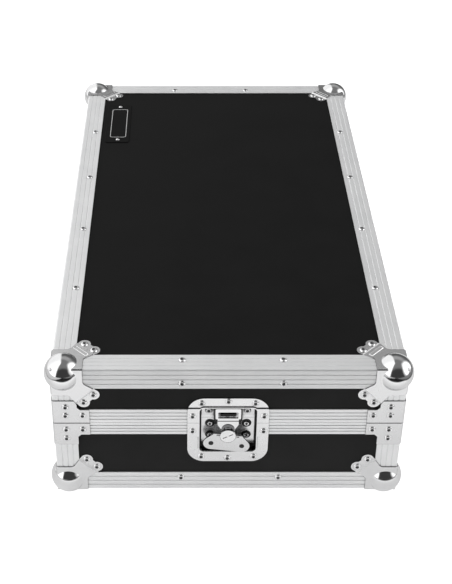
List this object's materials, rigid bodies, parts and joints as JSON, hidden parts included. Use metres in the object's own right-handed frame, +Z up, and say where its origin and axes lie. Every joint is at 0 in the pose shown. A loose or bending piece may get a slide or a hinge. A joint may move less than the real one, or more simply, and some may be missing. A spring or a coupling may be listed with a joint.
{
  "type": "dj controller flight case",
  "caption": "Black board flight case with ribbed aluminium edges, ball corners, butterfly latches, a hinged lid and a foam pocket for a controller.",
  "frame": {"origin": "middle of the case in plan, on the plane under its rubber feet", "axes": "+Z up, +Y along the long side away from the pictured end, +X across to the side with the handle"},
  "size_m": [0.4648, 0.8188, 0.2235],
  "materials": {
    "board": "black laminate with a fine matte grain over plywood",
    "edge_metal": "satin anodised, ribbed",
    "ball_chrome": "bright nickel plate",
    "plated_steel": "satin nickel plate",
    "bright_steel": "polished nickel plate",
    "foam": "charcoal open cell foam",
    "rubber": "matte black rubber"
  },
  "bodies": {
    "base": {"base_ball_corners": "ball_chrome", "base_corner_braces": "plated_steel", "base_corner_posts": "edge_metal", "base_edge_far": "edge_metal", "base_edge_left": "edge_metal", "base_edge_near": "edge_metal", "base_edge_right": "edge_metal", "base_hinge_leaves": "plated_steel", "base_rim_far": "edge_metal", "base_rim_left": "edge_metal", "base_rim_near": "edge_metal", "base_rim_right": "edge_metal", "base_wall_far": "board", "base_wall_left": "board", "base_wall_near": "board", "base_wall_right": "board", "feet": "rubber", "floor_board": "board", "floor_foam": "foam", "handle_dish": "plated_steel", "hinge_pins": "bright_steel", "latch_far_dish": "plated_steel", "latch_near_dish": "plated_steel", "latch_right_a_dish": "plated_steel", "latch_right_b_dish": "plated_steel", "wall_foam": "foam"},
    "lid": {"lid_ball_corners": "ball_chrome", "lid_corner_braces": "plated_steel", "lid_corner_posts": "edge_metal", "lid_edge_far": "edge_metal", "lid_edge_left": "edge_metal", "lid_edge_near": "edge_metal", "lid_edge_right": "edge_metal", "lid_foam": "foam", "lid_hinge_leaves": "plated_steel", "lid_latch_keepers": "plated_steel", "lid_rim_far": "edge_metal", "lid_rim_left": "edge_metal", "lid_rim_near": "edge_metal", "lid_rim_right": "edge_metal", "lid_wall_far": "board", "lid_wall_left": "board", "lid_wall_near": "board", "lid_wall_right": "board", "top_board": "board"},
    "latch_near_spindle": {"latch_near_spindle": "bright_steel"},
    "latch_near_wing": {"latch_near_wing": "plated_steel"},
    "latch_near_hook": {"latch_near_hook": "bright_steel"},
    "latch_far_spindle": {"latch_far_spindle": "bright_steel"},
    "latch_far_wing": {"latch_far_wing": "plated_steel"},
    "latch_far_hook": {"latch_far_hook": "bright_steel"},
    "latch_right_a_spindle": {"latch_right_a_spindle": "bright_steel"},
    "latch_right_a_wing": {"latch_right_a_wing": "plated_steel"},
    "latch_right_a_hook": {"latch_right_a_hook": "bright_steel"},
    "latch_right_b_spindle": {"latch_right_b_spindle": "bright_steel"},
    "latch_right_b_wing": {"latch_right_b_wing": "plated_steel"},
    "latch_right_b_hook": {"latch_right_b_hook": "bright_steel"},
    "handle": {"handle_bail": "bright_steel", "handle_grip": "rubber"}
  },
  "joints": [
    {"name": "lid_hinge", "type": "hinge", "parent": "base", "child": "lid", "pos_m": [-0.2268, 0, 0.12815], "axis": [0, -1, 0], "range_deg": [0, 100]},
    {"name": "latch_near_turn", "type": "hinge", "parent": "base", "child": "latch_near_spindle", "pos_m": [0, -0.4, 0.108], "axis": [0, -1, 0], "range_deg": [0, 180]},
    {"name": "latch_near_wing_fold", "type": "hinge", "parent": "latch_near_spindle", "child": "latch_near_wing", "pos_m": [0, -0.403, 0.108], "axis": [-0.9914, 0, 0.1305], "range_deg": [0, 90]},
    {"name": "latch_near_draw", "type": "slide", "parent": "base", "child": "latch_near_hook", "axis": [0, 0.5547, -0.8321], "range_m": [0, 0.00541]},
    {"name": "latch_far_turn", "type": "hinge", "parent": "base", "child": "latch_far_spindle", "pos_m": [0, 0.4, 0.108], "axis": [0, 1, 0], "range_deg": [0, 180]},
    {"name": "latch_far_wing_fold", "type": "hinge", "parent": "latch_far_spindle", "child": "latch_far_wing", "pos_m": [0, 0.403, 0.108], "axis": [0.9914, 0, 0.1305], "range_deg": [0, 90]},
    {"name": "latch_far_draw", "type": "slide", "parent": "base", "child": "latch_far_hook", "axis": [0, -0.5547, -0.8321], "range_m": [0, 0.00541]},
    {"name": "latch_right_a_turn", "type": "hinge", "parent": "base", "child": "latch_right_a_spindle", "pos_m": [0.223, -0.205, 0.108], "axis": [1, 0, 0], "range_deg": [0, 180]},
    {"name": "latch_right_a_wing_fold", "type": "hinge", "parent": "latch_right_a_spindle", "child": "latch_right_a_wing", "pos_m": [0.226, -0.205, 0.108], "axis": [0, -0.9914, 0.1305], "range_deg": [0, 90]},
    {"name": "latch_right_a_draw", "type": "slide", "parent": "base", "child": "latch_right_a_hook", "axis": [-0.5547, 0, -0.8321], "range_m": [0, 0.00541]},
    {"name": "latch_right_b_turn", "type": "hinge", "parent": "base", "child": "latch_right_b_spindle", "pos_m": [0.223, 0.205, 0.108], "axis": [1, 0, 0], "range_deg": [0, 180]},
    {"name": "latch_right_b_wing_fold", "type": "hinge", "parent": "latch_right_b_spindle", "child": "latch_right_b_wing", "pos_m": [0.226, 0.205, 0.108], "axis": [0, -0.9914, 0.1305], "range_deg": [0, 90]},
    {"name": "latch_right_b_draw", "type": "slide", "parent": "base", "child": "latch_right_b_hook", "axis": [-0.5547, 0, -0.8321], "range_m": [0, 0.00541]},
    {"name": "handle_swing", "type": "hinge", "parent": "base", "child": "handle", "pos_m": [0.215, 0, 0.08935], "axis": [0, -1, 0], "range_deg": [0, 90]}
  ],
  "couplings": [
    {"joint": "latch_near_draw", "follows": "latch_near_turn", "m_per_rad": 0.00172},
    {"joint": "latch_far_draw", "follows": "latch_far_turn", "m_per_rad": 0.00172},
    {"joint": "latch_right_a_draw", "follows": "latch_right_a_turn", "m_per_rad": 0.00172},
    {"joint": "latch_right_b_draw", "follows": "latch_right_b_turn", "m_per_rad": 0.00172}
  ]
}
